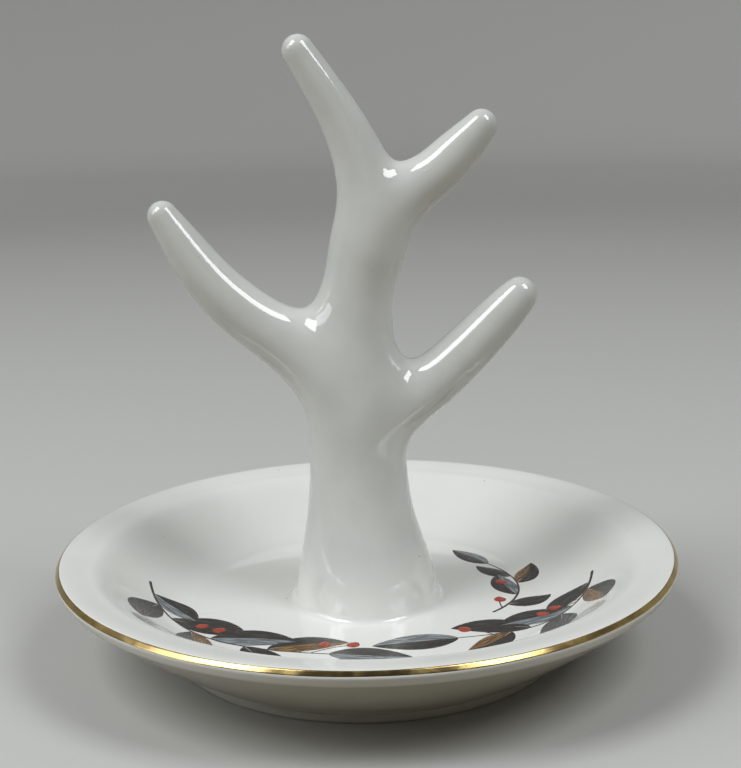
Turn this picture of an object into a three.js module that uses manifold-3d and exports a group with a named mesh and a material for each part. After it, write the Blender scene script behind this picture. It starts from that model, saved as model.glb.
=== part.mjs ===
// A porcelain ring holder: a shallow dish on a foot ring, with a gilt line round its rim and a small bare
// tree standing in it. Rings hang on the tree's limbs and small things lie in the dish. Nothing on it moves.
// Millimetres, +Z up, +X to the right and -Y to the front. The origin is the centre of the foot ring's face.
import * as THREE from "three";
import { mergeVertices } from "three/addons/utils/BufferGeometryUtils.js";
import Module from "manifold-3d";

const wasm = await Module();
wasm.setup();

// Driving size of the whole, from the foot ring's face to the tree's top
const overallHeight = 106.2;

// Driving sizes of the dish
const rimRadius = 54.2;
const rimHeight = 17.7;
const lipRound = 1;
const lipDepth = 2.8;
const lipDraft = 1.4;
const lipCornerReach = 0.9;
const flangeWidth = 4.7;
const flangeDrop = 0.75;
const floorHeight = 8;
const floorRadius = 30;
const floorThickness = 4;
const footRadius = 34.1;
const footFaceWidth = 2.6;
const footHeight = 1.6;
const footDraft = 0.6;
const footBevel = 0.4;
const footInnerDraft = 1;
const ventRadius = 2;

// Driving sizes of the gilt line. Its edges are angles on the lip's round, up from its outermost point.
const giltThickness = 0.25;
const giltFromAngle = 14;
const giltToAngle = 72;

// Driving sizes of the tree. A rise is measured up from the dish's floor, a drop down from the middle of the
// stem's round tip and a reach out from the tree's axis, all to the middle of a limb's root or round tip.
const stemBaseRadius = 13.3;
const stemTipRadius = 2.7;
const stemReach = -9.5;
const leftRootRadius = 5.3;
const leftTipRadius = 2.5;
const leftRootRise = 37.2;
const leftTipRise = 68.7;
const leftReach = -33.4;
const leftCrotchBlend = 8;
const lowerRightRootRadius = 5;
const lowerRightTipRadius = 3.1;
const lowerRightRootRise = 32.5;
const lowerRightTipRise = 54;
const lowerRightReach = 27.3;
const lowerRightCrotchBlend = 5;
const upperRightRootRadius = 4.6;
const upperRightTipRadius = 2.7;
const upperRightRootDrop = 32;
const upperRightTipDrop = 12.7;
const upperRightReach = 20.6;
const upperRightCrotchBlend = 5;
const wallThickness = 3;
const hollowRise = 52;
const cutOverrun = 4;

// Driving sizes of the joining slip smoothed round the tree's foot
const slipWidth = 1.6;
const slipHeight = 1.8;
const slipClearance = 0.3;

// How finely round things are divided
const turnSteps = 60;
const curveSteps = 8;
const limbSteps = 36;
const treeCell = 1.9;
const hollowCell = 3;
const surfacePasses = 3;

const porcelain = new THREE.MeshStandardMaterial({ color: 0xe6e6e1, roughness: 0.12, metalness: 0 });
const gilt = new THREE.MeshStandardMaterial({ color: 0xb08a3c, roughness: 0.2, metalness: 1 });

// Small tools for solids

function solidOf(geometry) {
  const bare = geometry.clone();
  bare.deleteAttribute("normal");
  bare.deleteAttribute("uv");
  const merged = mergeVertices(bare);
  return new wasm.Manifold(
    new wasm.Mesh({
      numProp: 3,
      vertProperties: merged.attributes.position.array,
      triVerts: new Uint32Array(merged.index.array),
    }),
  );
}

function geometryOf(solid) {
  const mesh = solid.getMesh();
  const geometry = new THREE.BufferGeometry();
  geometry.setAttribute("position", new THREE.BufferAttribute(mesh.vertProperties, 3));
  geometry.setIndex(new THREE.BufferAttribute(mesh.triVerts, 1));
  geometry.computeVertexNormals();
  return geometry;
}

// A ring turned about the Z axis from an outline of (radius, height) points, which runs outwards along the
// ring's upper side and back inwards along its lower side
function turned(outline) {
  const points = [...outline, outline[0]].reverse();
  const geometry = new THREE.LatheGeometry(points, turnSteps);
  geometry.rotateX(Math.PI / 2);
  return geometry;
}

function arcPoints(centre, radius, fromAngle, toAngle, steps) {
  return Array.from({ length: steps + 1 }, (_, i) => {
    const angle = THREE.MathUtils.degToRad(fromAngle + ((toAngle - fromAngle) * i) / steps);
    return new THREE.Vector2(centre.x + radius * Math.cos(angle), centre.y + radius * Math.sin(angle));
  });
}

// The dish

const lipCentre = new THREE.Vector2(rimRadius - lipRound, rimHeight - lipRound);
const flangeSlope = flangeDrop / flangeWidth;
const wellMouth = new THREE.Vector2(lipCentre.x - flangeWidth, rimHeight - flangeDrop);

// The lip's round under the gilt line, and the seat that is let into it for the line's thickness
const giltFace = arcPoints(lipCentre, lipRound, giltToAngle, giltFromAngle, curveSteps / 2);
const giltSeat = arcPoints(lipCentre, lipRound - giltThickness, giltToAngle, giltFromAngle, curveSteps / 2);

// From the edge of the flat floor up the S-shaped wall of the well to its mouth
function wellWall() {
  const floorHandleShare = 0.52;
  const mouthHandleShare = 0.2;
  const run = wellMouth.x - floorRadius;
  const floorHandle = run * floorHandleShare;
  const mouthHandle = run * mouthHandleShare;
  return new THREE.CubicBezierCurve(
    new THREE.Vector2(floorRadius, floorHeight),
    new THREE.Vector2(floorRadius + floorHandle, floorHeight),
    new THREE.Vector2(wellMouth.x - mouthHandle, wellMouth.y - mouthHandle * flangeSlope),
    wellMouth,
  ).getPoints(curveSteps);
}

// The flange from the well's mouth out to the lip's round, which it meets level
function flangeTop() {
  const handleShare = 0.3;
  const handle = flangeWidth * handleShare;
  return new THREE.CubicBezierCurve(
    wellMouth,
    new THREE.Vector2(wellMouth.x + handle, wellMouth.y + handle * flangeSlope),
    new THREE.Vector2(lipCentre.x - handle, rimHeight),
    new THREE.Vector2(lipCentre.x, rimHeight),
  ).getPoints(curveSteps / 2);
}

// From the lip's round down the lip's face, round its soft lower corner and down the bowl to the foot ring
function underside() {
  const footHandleShare = 0.3;
  const footSlopeShare = 0.8;
  const lipAngle = -THREE.MathUtils.radToDeg(Math.atan2(lipDraft, lipDepth - lipRound));
  const round = arcPoints(lipCentre, lipRound, giltFromAngle, lipAngle, curveSteps / 2);
  const corner = new THREE.Vector2(rimRadius - lipDraft, rimHeight - lipDepth);
  const footTop = new THREE.Vector2(footRadius + footDraft, footHeight);
  const bowlRun = corner.x - footTop.x;
  const bowlSlope = (corner.y - footTop.y) / bowlRun;
  const above = corner.clone().lerp(round.at(-1), lipCornerReach / lipDepth);
  const below = new THREE.Vector2(corner.x - lipCornerReach, corner.y - lipCornerReach * bowlSlope);
  const footHandle = bowlRun * footHandleShare;
  const cornerRound = new THREE.QuadraticBezierCurve(above, corner, below).getPoints(curveSteps / 4);
  const bowl = new THREE.QuadraticBezierCurve(
    below,
    new THREE.Vector2(footTop.x + footHandle, footTop.y + footHandle * bowlSlope * footSlopeShare),
    footTop,
  ).getPoints(curveSteps / 2);
  return [...round, ...cornerRound, ...bowl.slice(1)];
}

function dishOutline() {
  const quarterTurn = 90;
  const ceiling = floorHeight - floorThickness;
  const footInside = footRadius - footFaceWidth;
  return [
    new THREE.Vector2(ventRadius, floorHeight),
    ...wellWall(),
    ...flangeTop().slice(1),
    ...arcPoints(lipCentre, lipRound, quarterTurn, giltToAngle, 1).slice(1),
    ...giltSeat,
    ...underside(),
    new THREE.Vector2(footRadius + footBevel, footBevel),
    new THREE.Vector2(footRadius, 0),
    new THREE.Vector2(footInside, 0),
    new THREE.Vector2(footInside - footBevel, footBevel),
    new THREE.Vector2(footInside - footInnerDraft, ceiling),
    new THREE.Vector2(ventRadius, ceiling),
  ];
}

// The tree. Each limb is a row of stations from root to tip. A station's shares are of the limb's reach, of
// its rise from root to tip, and of what its root's radius has over its tip's.

const stem = {
  rootRise: 0,
  tipRise: overallHeight - floorHeight - stemTipRadius,
  reach: stemReach,
  rootRadius: stemBaseRadius,
  tipRadius: stemTipRadius,
  stationShares: [
    [0, -0.03, 1],
    [0, 0, 0.95],
    [0.02, 0.047, 0.87],
    [0.05, 0.105, 0.735],
    [0.095, 0.168, 0.615],
    [0.115, 0.25, 0.54],
    [0.125, 0.335, 0.49],
    [0.18, 0.44, 0.425],
    [0.16, 0.545, 0.34],
    [-0.05, 0.63, 0.295],
    [-0.19, 0.695, 0.275],
    [-0.18, 0.76, 0.225],
    [-0.01, 0.825, 0.145],
    [0.305, 0.89, 0.08],
    [0.705, 0.955, 0.03],
    [1, 1, 0],
  ],
};

const leftLimb = {
  rootRise: leftRootRise,
  tipRise: leftTipRise,
  reach: leftReach,
  rootRadius: leftRootRadius,
  tipRadius: leftTipRadius,
  blend: leftCrotchBlend,
  stationShares: [
    [0, 0, 1],
    [0.17, 0.125, 0.98],
    [0.32, 0.245, 0.93],
    [0.555, 0.425, 0.84],
    [0.68, 0.535, 0.715],
    [0.8, 0.675, 0.56],
    [0.91, 0.85, 0.33],
    [1, 1, 0],
  ],
};

const lowerRightLimb = {
  rootRise: lowerRightRootRise,
  tipRise: lowerRightTipRise,
  reach: lowerRightReach,
  rootRadius: lowerRightRootRadius,
  tipRadius: lowerRightTipRadius,
  blend: lowerRightCrotchBlend,
  stationShares: [
    [0, 0, 1],
    [0.135, 0.095, 0.97],
    [0.355, 0.225, 0.9],
    [0.46, 0.335, 0.78],
    [0.63, 0.53, 0.655],
    [0.805, 0.745, 0.515],
    [0.96, 0.95, 0.22],
    [1, 1, 0],
  ],
};

const upperRightLimb = {
  rootRise: stem.tipRise - upperRightRootDrop,
  tipRise: stem.tipRise - upperRightTipDrop,
  reach: upperRightReach,
  rootRadius: upperRightRootRadius,
  tipRadius: upperRightTipRadius,
  blend: upperRightCrotchBlend,
  stationShares: [
    [0.1, 0, 1],
    [0.29, 0.325, 0.93],
    [0.515, 0.52, 0.81],
    [0.625, 0.595, 0.74],
    [0.77, 0.75, 0.6],
    [0.925, 0.91, 0.23],
    [1, 1, 0],
  ],
};

// A limb's centre line and girth, as points of (reach, rise, radius)
function stationsOf(limb, steps) {
  const points = limb.stationShares.map(
    ([reachShare, riseShare, girthShare]) =>
      new THREE.Vector3(
        reachShare * limb.reach,
        THREE.MathUtils.lerp(limb.rootRise, limb.tipRise, riseShare),
        THREE.MathUtils.lerp(limb.tipRadius, limb.rootRadius, girthShare),
      ),
  );
  return new THREE.CatmullRomCurve3(points, false, "centripetal").getPoints(steps);
}

// How far a point lies outside a limb, which is a row of cones with round ends
function outsideLimb(stations, x, y, rise) {
  let least = Infinity;
  for (let i = 1; i < stations.length; i++) {
    const a = stations[i - 1];
    const b = stations[i];
    const alongX = b.x - a.x;
    const alongRise = b.y - a.y;
    const dot = (x - a.x) * alongX + (rise - a.y) * alongRise;
    const t = THREE.MathUtils.clamp(dot / (alongX * alongX + alongRise * alongRise), 0, 1);
    const away = Math.hypot(x - a.x - t * alongX, y, rise - a.y - t * alongRise);
    least = Math.min(least, away - a.z - t * (b.z - a.z));
  }
  return least;
}

// The lower of two distances, rounded over where they meet, as the crotch between two limbs is smoothed
function blended(a, b, width) {
  const h = Math.max(width - Math.abs(a - b), 0) / width;
  return Math.min(a, b) - (h * h * width) / 4;
}

const stemLine = stationsOf(stem, limbSteps * 2);
const sideLimbs = [leftLimb, lowerRightLimb, upperRightLimb].map((limb) => ({
  line: stationsOf(limb, limbSteps),
  blend: limb.blend,
}));

function outsideTree(x, y, z) {
  const rise = z - floorHeight;
  return sideLimbs.reduce(
    (distance, limb) => blended(distance, outsideLimb(limb.line, x, y, rise), limb.blend),
    outsideLimb(stemLine, x, y, rise),
  );
}

// The hollow left where the slip was drained: the stem's own line, one wall thinner, as far as it stays open
const hollowLine = stemLine.filter((p) => p.y <= hollowRise);

function outsideHollow(x, y, z) {
  return outsideLimb(hollowLine, x, y, z - floorHeight) + wallThickness;
}

const cubeCorners = [0, 1, 2, 3, 4, 5, 6, 7].map((n) => [n & 1, (n >> 1) & 1, (n >> 2) & 1]);
const cubeEdges = cubeCorners.flatMap((a, m) =>
  cubeCorners.flatMap((b, n) => {
    const apart = Math.abs(a[0] - b[0]) + Math.abs(a[1] - b[1]) + Math.abs(a[2] - b[2]);
    return n > m && apart === 1 ? [[m, n]] : [];
  }),
);
const axes = [
  [1, 0, 0],
  [0, 1, 0],
  [0, 0, 1],
];

// The surface where a distance is zero, as a closed mesh. Each cell of a grid that the surface crosses gets
// one vertex, and each grid edge that it crosses gets a four-sided face between the cells round that edge.
function surfaceOf(distance, low, high, size) {
  const [nx, ny, nz] = low.map((v, axis) => Math.ceil((high[axis] - v) / size) + 1);
  const place = (i, axis) => low[axis] + i * size;
  const index = (i, j, k) => (i * ny + j) * nz + k;
  const values = new Float64Array(nx * ny * nz);
  const positions = [];
  const vertexOfCell = new Map();
  const faces = [];

  function eachNode(first, visit) {
    for (let i = first; i < nx - 1; i++) {
      for (let j = first; j < ny - 1; j++) {
        for (let k = first; k < nz - 1; k++) {
          visit(i, j, k);
        }
      }
    }
  }

  function addVertex(i, j, k) {
    const v = cubeCorners.map(([a, b, c]) => values[index(i + a, j + b, k + c)]);
    const crossed = cubeEdges.filter(([m, n]) => v[m] < 0 !== v[n] < 0);
    if (crossed.length === 0) return;
    const start = [i, j, k].map((cell, axis) => {
      const along = crossed.map(([m, n]) => {
        const t = v[m] / (v[m] - v[n]);
        return cubeCorners[m][axis] + t * (cubeCorners[n][axis] - cubeCorners[m][axis]);
      });
      return place(cell + along.reduce((sum, t) => sum + t) / crossed.length, axis);
    });
    vertexOfCell.set(index(i, j, k), positions.length / 3);
    positions.push(...ontoSurface(distance, start, size));
  }

  function addFaces(i, j, k) {
    const inside = values[index(i, j, k)] < 0;
    axes.forEach(([a, b, c], axis) => {
      if (inside === values[index(i + a, j + b, k + c)] < 0) return;
      const u = axes[(axis + 1) % 3];
      const w = axes[(axis + 2) % 3];
      const cellAt = (m, n) =>
        vertexOfCell.get(index(i - m * u[0] - n * w[0], j - m * u[1] - n * w[1], k - m * u[2] - n * w[2]));
      const around = [cellAt(0, 0), cellAt(1, 0), cellAt(1, 1), cellAt(0, 1)];
      if (!inside) around.reverse();
      faces.push(around[0], around[1], around[2], around[0], around[2], around[3]);
    });
  }

  for (let i = 0; i < nx; i++) {
    for (let j = 0; j < ny; j++) {
      for (let k = 0; k < nz; k++) {
        values[index(i, j, k)] = distance(place(i, 0), place(j, 1), place(k, 2));
      }
    }
  }
  eachNode(0, addVertex);
  eachNode(1, addFaces);
  const geometry = new THREE.BufferGeometry();
  geometry.setAttribute("position", new THREE.Float32BufferAttribute(positions, 3));
  geometry.setIndex(faces);
  return geometry;
}

// A point near the surface, moved on to it along the distance's slope
function ontoSurface(distance, start, size) {
  const probe = size / 16;
  let p = start;
  for (let pass = 0; pass < surfacePasses; pass++) {
    const here = distance(...p);
    const slope = axes.map(([a, b, c]) => {
      const ahead = distance(p[0] + a * probe, p[1] + b * probe, p[2] + c * probe);
      return (ahead - here) / probe;
    });
    const steepness = slope[0] ** 2 + slope[1] ** 2 + slope[2] ** 2;
    p = p.map((v, axis) => v - (here * slope[axis]) / steepness);
  }
  return p;
}

// The lowest and highest corners of a box that clears all the stations' round ends
function boxRound(stations) {
  const least = (side) => Math.min(...stations.map(side)) - cutOverrun;
  const most = (side) => Math.max(...stations.map(side)) + cutOverrun;
  return [
    [least((p) => p.x - p.z), least((p) => -p.z), least((p) => p.y - p.z) + floorHeight],
    [most((p) => p.x + p.z), most((p) => p.z), most((p) => p.y + p.z) + floorHeight],
  ];
}

function treeSolid() {
  const allLimbs = [stemLine, ...sideLimbs.map((limb) => limb.line)].flat();
  const body = solidOf(surfaceOf(outsideTree, ...boxRound(allLimbs), treeCell));
  const hollow = solidOf(surfaceOf(outsideHollow, ...boxRound(hollowLine), hollowCell));
  const depth = stemBaseRadius + cutOverrun;
  const ground = new THREE.BoxGeometry(3 * depth, 3 * depth, 2 * depth);
  ground.translate(0, 0, floorHeight - depth);
  return body.subtract(hollow).subtract(solidOf(ground));
}

// The slip smoothed into the angle between the stem and the floor, with a hollow face
function slipOutline() {
  const seat = (rise) => {
    let radius = stemBaseRadius;
    for (let pass = 0; pass < surfacePasses; pass++) {
      radius += slipClearance - outsideLimb(stemLine, radius, 0, rise);
    }
    return new THREE.Vector2(radius, floorHeight + rise);
  };
  const foot = seat(0);
  const face = new THREE.QuadraticBezierCurve(
    seat(slipHeight),
    seat(slipHeight / 4),
    new THREE.Vector2(foot.x + slipWidth, floorHeight),
  ).getPoints(curveSteps / 2);
  return [...face, foot, seat(slipHeight / 2)];
}

// The assembly

const holder = new THREE.Group();

function place(name, geometry, material) {
  const mesh = new THREE.Mesh(geometry, material);
  mesh.name = name;
  holder.add(mesh);
}

place("dish", turned(dishOutline()), porcelain);
place("gilt_rim_line", turned([...giltFace, ...giltSeat.toReversed()]), gilt);
place("ring_tree", geometryOf(treeSolid()), porcelain);
place("joining_slip_fillet", turned(slipOutline()), porcelain);

export default holder;
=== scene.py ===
"""A porcelain ring holder: a glazed dish with a gilt rim line, a small bare tree and enamel leaf sprigs."""

import itertools
import math

import bpy
import numpy as np
from mathutils import Matrix, Quaternion, Vector


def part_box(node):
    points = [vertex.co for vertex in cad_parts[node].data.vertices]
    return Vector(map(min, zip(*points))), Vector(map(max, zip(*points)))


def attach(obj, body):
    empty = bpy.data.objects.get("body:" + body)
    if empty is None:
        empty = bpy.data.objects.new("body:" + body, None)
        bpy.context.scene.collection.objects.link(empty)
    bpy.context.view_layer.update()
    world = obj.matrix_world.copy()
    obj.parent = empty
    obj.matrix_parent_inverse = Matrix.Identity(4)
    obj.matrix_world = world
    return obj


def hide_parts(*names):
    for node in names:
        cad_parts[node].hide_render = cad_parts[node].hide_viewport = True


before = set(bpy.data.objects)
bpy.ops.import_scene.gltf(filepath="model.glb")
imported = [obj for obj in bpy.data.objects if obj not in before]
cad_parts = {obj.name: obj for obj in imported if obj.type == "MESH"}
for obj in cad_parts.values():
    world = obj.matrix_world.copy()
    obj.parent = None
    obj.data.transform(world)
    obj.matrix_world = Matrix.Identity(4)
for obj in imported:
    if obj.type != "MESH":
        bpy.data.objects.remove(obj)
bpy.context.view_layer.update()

MM = 0.001

# Places and sizes read from the frame
dish_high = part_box("dish")[1]
tree_low, tree_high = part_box("ring_tree")
RIM_RADIUS = dish_high.x
RIM_HEIGHT = dish_high.z
FLOOR_HEIGHT = tree_low.z

# The dish's outline, with its lip, its flange, the edge of its flat floor and its foot ring. A curve's
# handles are shares of the width that the curve spans.
LIP_ROUND = 1 * MM
LIP_DEPTH = 2.5 * MM
LIP_DRAFT = 0.5 * MM
LIP_CORNER_REACH = 0.7 * MM
FLANGE_WIDTH = 4.7 * MM
FLANGE_DROP = 0.75 * MM
FLOOR_RADIUS = 30 * MM
FLOOR_HANDLE_SHARES = (0.2, 0.5)
MOUTH_HANDLE_SHARES = (0.22, 0.1)
FLANGE_HANDLE_SHARE = 0.3
BOWL_HANDLE_SHARE = 0.3
BOWL_FOOT_SLOPE_SHARE = 0.8
FLOOR_THICKNESS = 4 * MM
FOOT_RADIUS = 34.1 * MM
FOOT_FACE_WIDTH = 2.6 * MM
FOOT_HEIGHT = 1.6 * MM
FOOT_DRAFT = 0.6 * MM
FOOT_BEVEL = 0.4 * MM
FOOT_EDGE_SHARE = 0.8
FOOT_INNER_DRAFT = 1 * MM
CEILING_ROUND = 1.2 * MM
VENT_RADIUS = 2 * MM
VENT_BEVEL = 0.3 * MM
LIP_CENTRE = np.array([RIM_RADIUS - LIP_ROUND, RIM_HEIGHT - LIP_ROUND])
WELL_MOUTH = np.array([LIP_CENTRE[0] - FLANGE_WIDTH, RIM_HEIGHT - FLANGE_DROP])

# Across the lip's round lies a soft flat. It faces so many degrees up, and its distance from the round's
# centre is a share of the round's radius.
LIP_FLAT_FACING = 38
LIP_FLAT_SHARE = 0.9
LIP_FLAT_BLEND = 0.08 * MM

# The gilt line. Its edges are angles on the lip's round, in degrees up from its outermost point. Each edge
# wanders by a few waves: how many go round the rim, their share of the wander and where they start. Over an
# edge's share of its width the gold thins away.
GILT_FROM = 12
GILT_TO = 72
GILT_WANDER = 2.5
GILT_LOWER_WAVES = [(3, 1, 0), (7, 0.5, 0), (16, 0.3, 1)]
GILT_UPPER_WAVES = [(5, 0.5, 2), (13, 0.4, 0)]
GILT_EDGE_SHARE = 1 / 6
GILT_PROUD = 0.015 * MM
GILT_DEPTH = 0.06 * MM

# The tree. The stem's tip, the left limb's and the lower right one's lie where the frame's box ends, less
# their round ends. A station's shares are of the limb's reach, of its rise from root to tip, and of what its
# root's radius has over its tip's.
STEM_TIP_RADIUS = 2.7 * MM
LEFT_TIP_RADIUS = 2.6 * MM
LOWER_RIGHT_TIP_RADIUS = 3.1 * MM
UPPER_RIGHT_TIP_RADIUS = 2.7 * MM
STEM_BASE_RADIUS = 13.3 * MM
STEM_TIP_RISE = tree_high.z - STEM_TIP_RADIUS - FLOOR_HEIGHT
UPPER_RIGHT_ROOT_DROP = 32 * MM
UPPER_RIGHT_TIP_DROP = 12.7 * MM
WALL_THICKNESS = 3 * MM
HOLLOW_RISE = 52 * MM
SLIP_WIDTH = 1.2 * MM
SLIP_DEPTH = 0.3 * MM

STEM = {
    "root_rise": 0,
    "tip_rise": STEM_TIP_RISE,
    "reach": -9.5 * MM,
    "root_radius": STEM_BASE_RADIUS,
    "tip_radius": STEM_TIP_RADIUS,
    "station_shares": [
        (0, -0.03, 1),
        (0, 0, 0.95),
        (0.02, 0.047, 0.87),
        (0.065, 0.105, 0.72),
        (0.11, 0.168, 0.6),
        (0.115, 0.25, 0.54),
        (0.125, 0.335, 0.49),
        (0.18, 0.44, 0.425),
        (0.16, 0.545, 0.34),
        (-0.05, 0.63, 0.295),
        (-0.19, 0.695, 0.275),
        (-0.18, 0.76, 0.225),
        (-0.01, 0.825, 0.145),
        (0.305, 0.89, 0.08),
        (0.705, 0.955, 0.03),
        (1, 1, 0),
    ],
}
LEFT_LIMB = {
    "root_rise": 37.2 * MM,
    "tip_rise": 68.7 * MM,
    "reach": tree_low.x + LEFT_TIP_RADIUS,
    "root_radius": 5.3 * MM,
    "tip_radius": LEFT_TIP_RADIUS,
    "blend": 12 * MM,
    "station_shares": [
        (0, 0, 1),
        (0.17, 0.125, 0.98),
        (0.32, 0.245, 0.93),
        (0.555, 0.425, 0.82),
        (0.68, 0.535, 0.715),
        (0.8, 0.675, 0.56),
        (0.91, 0.85, 0.33),
        (1, 1, 0),
    ],
}
LOWER_RIGHT_LIMB = {
    "root_rise": 32 * MM,
    "tip_rise": 54 * MM,
    "reach": tree_high.x - LOWER_RIGHT_TIP_RADIUS,
    "root_radius": 5 * MM,
    "tip_radius": LOWER_RIGHT_TIP_RADIUS,
    "blend": 7.5 * MM,
    "station_shares": [
        (0, 0, 1),
        (0.135, 0.095, 0.97),
        (0.355, 0.225, 0.9),
        (0.46, 0.335, 0.78),
        (0.63, 0.53, 0.655),
        (0.805, 0.745, 0.515),
        (0.96, 0.95, 0.22),
        (1, 1, 0),
    ],
}
UPPER_RIGHT_LIMB = {
    "root_rise": STEM_TIP_RISE - UPPER_RIGHT_ROOT_DROP,
    "tip_rise": STEM_TIP_RISE - UPPER_RIGHT_TIP_DROP,
    "reach": 20.6 * MM,
    "root_radius": 4.6 * MM,
    "tip_radius": UPPER_RIGHT_TIP_RADIUS,
    "blend": 7.5 * MM,
    "station_shares": [
        (0.1, 0, 1),
        (0.29, 0.325, 0.93),
        (0.515, 0.52, 0.81),
        (0.625, 0.595, 0.74),
        (0.77, 0.75, 0.6),
        (0.925, 0.91, 0.23),
        (1, 1, 0),
    ],
}

# The painted sprigs. A twig's line is given in shares of the floor's radius, to the right and to the back.
# A leaf's shares are its place along the twig, its size and its turn from the twig's own heading, in
# quarter turns to the left. A berry's are its place, its stalk's reach in leaf lengths and its turn.
LEAF_LENGTH = 15.5 * MM
LEAF_WIDTH = 3.4 * MM
BERRY_RADIUS = 1.1 * MM
TWIG_WIDTH = 0.26 * MM
TWIG_TIP_WIDTH = 0.12 * MM
VEIN_WIDTH = 0.1 * MM
VEIN_TIP_WIDTH = 0.05 * MM
LEAST_WIDTH = 0.015 * MM
LEAF_RISE = 0.045 * MM
VEIN_RISE = 0.075 * MM
BERRY_RISE = 0.14 * MM
ENAMEL_SINK = 0.03 * MM

SPRIGS = [
    {
        "line_shares": [(-1.3, 0.08), (-1.2, -0.4), (-0.9, -0.74), (-0.22, -0.84)],
        "leaf_shares": [
            (0.1, 0.8, 0.45, "slate"),
            (0.2, 0.85, -0.5, "dark"),
            (0.34, 1, 0.5, "dark"),
            (0.48, 0.9, -0.45, "ochre"),
            (0.58, 1, 0.45, "slate"),
            (0.74, 0.9, -0.4, "dark"),
            (0.82, 0.9, 0.45, "ochre"),
            (1, 0.9, 0, "slate"),
        ],
        "berry_shares": [(0.4, 0.26, 0.8), (0.44, 0.4, 0.62), (0.92, 0.34, 0.7), (0.95, 0.5, 0.5)],
    },
    {
        "line_shares": [(1.34, 0.02), (1.27, -0.35), (1.02, -0.58), (0.5, -0.66)],
        "leaf_shares": [
            (0.12, 0.75, -0.5, "dark"),
            (0.2, 0.8, 0.5, "ochre"),
            (0.38, 0.95, -0.48, "slate"),
            (0.48, 0.9, 0.46, "dark"),
            (0.68, 0.9, -0.45, "dark"),
            (0.78, 0.75, 0.42, "ochre"),
            (1, 0.95, 0.02, "slate"),
        ],
        "berry_shares": [(0.3, 0.3, -0.8), (0.34, 0.42, -0.6), (0.86, 0.34, -0.6)],
    },
    {
        "line_shares": [(0.72, -0.3), (0.95, -0.08), (0.98, 0.22), (0.76, 0.5)],
        "leaf_shares": [
            (0.16, 0.6, -0.5, "dark"),
            (0.36, 0.7, 0.5, "slate"),
            (0.6, 0.65, -0.45, "ochre"),
            (0.74, 0.55, 0.48, "dark"),
            (1, 0.65, 0, "slate"),
        ],
        "berry_shares": [(0.1, 0.25, 0.6), (0.5, 0.28, 0.7)],
    },
]

# A leaf's outline is a half wave, raised to powers that bring its widest place nearer to its root and make
# it fuller. Its side veins' places are shares of its length and their turns are quarter turns. The two parts
# of a side vein are as long as shares of the leaf's half width there.
LEAF_ROOT_POWER = 0.85
LEAF_FULL_POWER = 0.8
LEAF_FAR_HALF_SHARE = 0.9
VEIN_PLACE_SHARES = (0.2, 0.38, 0.56, 0.72)
VEIN_TURN = 0.42
VEIN_END_TURN = 0.25
VEIN_PART_SHARES = (0.63, 0.525)
SIDE_VEIN_WIDTH_SHARE = 0.7

# How finely the dish, the gilt line, the joining slip, the strokes and the studio are divided
AROUND = 288
FLOOR_STEPS = 39
WALL_STEPS = 48
FLANGE_STEPS = 16
LIP_STEPS = 71
LIP_CORNER_STEPS = 8
BOWL_STEPS = 40
FOOT_STEPS = 4
CEILING_STEPS = 24
ROUND_STEPS = 6
GILT_STEPS = 26
SLIP_STEPS = 14
SLIP_PASSES = 8
STROKE_COLUMNS = 9
TWIG_STEPS = 60
LEAF_STEPS = 28
VEIN_STEPS = 8
STALK_STEPS = 10
BERRY_STEPS = 16
STUDIO_AROUND = 96
STUDIO_FLOOR_STEPS = 7
STUDIO_SWEEP_STEPS = 24

# Faces that meet at more than this many degrees keep a sharp edge
SHARP_ANGLE = 50

# How finely the tree is made: its limbs' lines, its grid's cells and how far its slope is felt for
LIMB_STEPS = 80
LINE_PASSES = 110
TREE_CELL = 0.6 * MM
BAND_CELLS = 4
SETTLE_PASSES = 4
SLOPE_PROBE = 0.02 * MM
LEAST_SLOPE_SQUARED = 0.25

# The glazes' colours: most of the body, its faint mottle, and the colour just over the dish's floor. The
# tree's body is greyer than the dish's, partly its own glaze and partly painted shade on its upright sides.
# Its lighter colour low down is painted light, and the dish's colour is a little darker low down.
DISH_GLAZE = {"body": (0.85, 0.85, 0.82), "mottle": (0.82, 0.825, 0.79), "foot": (0.82, 0.825, 0.79)}
TREE_GLAZE_AND_SHADING = {"body": (0.71, 0.72, 0.69), "mottle": (0.67, 0.68, 0.655), "foot": (0.83, 0.835, 0.8)}
IRON_BROWN = (0.16, 0.13, 0.09)
BARE_CLAY = (0.66, 0.62, 0.55)

# The glaze's gloss and its marks: how large or how far apart they are, and how deep. A range is the part of
# the noise over which a mark sets in.
GLAZE_IOR = 1.7
GLAZE_ROUGHNESS = (0.03, 0.06)
BARE_ROUGHNESS = 0.6
# Over this rise the glaze turns from its foot's colour to its body's; on the tree that lighter foot is
# painted light
FOOT_LIGHT_AND_TINT_RISE = 14 * MM
MOTTLE_SIZE = 9 * MM
MOTTLE_RANGE = (0.35, 0.7)
PATCH_RANGE = (0.3, 0.7)
GLOSS_PATCH_SIZE = 2.5 * MM
SWELL_SIZE = 7 * MM
SWELL_HEIGHT = 0.008 * MM
IRON_SPACING = 3 * MM
IRON_RADIUS = 0.17 * MM
IRON_SHARE = 0.2
PIT_SPACING = 1.5 * MM
PIT_RADIUS = 0.16 * MM
PIT_SHARE = 0.3
PIT_DEPTH = 0.03 * MM

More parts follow.
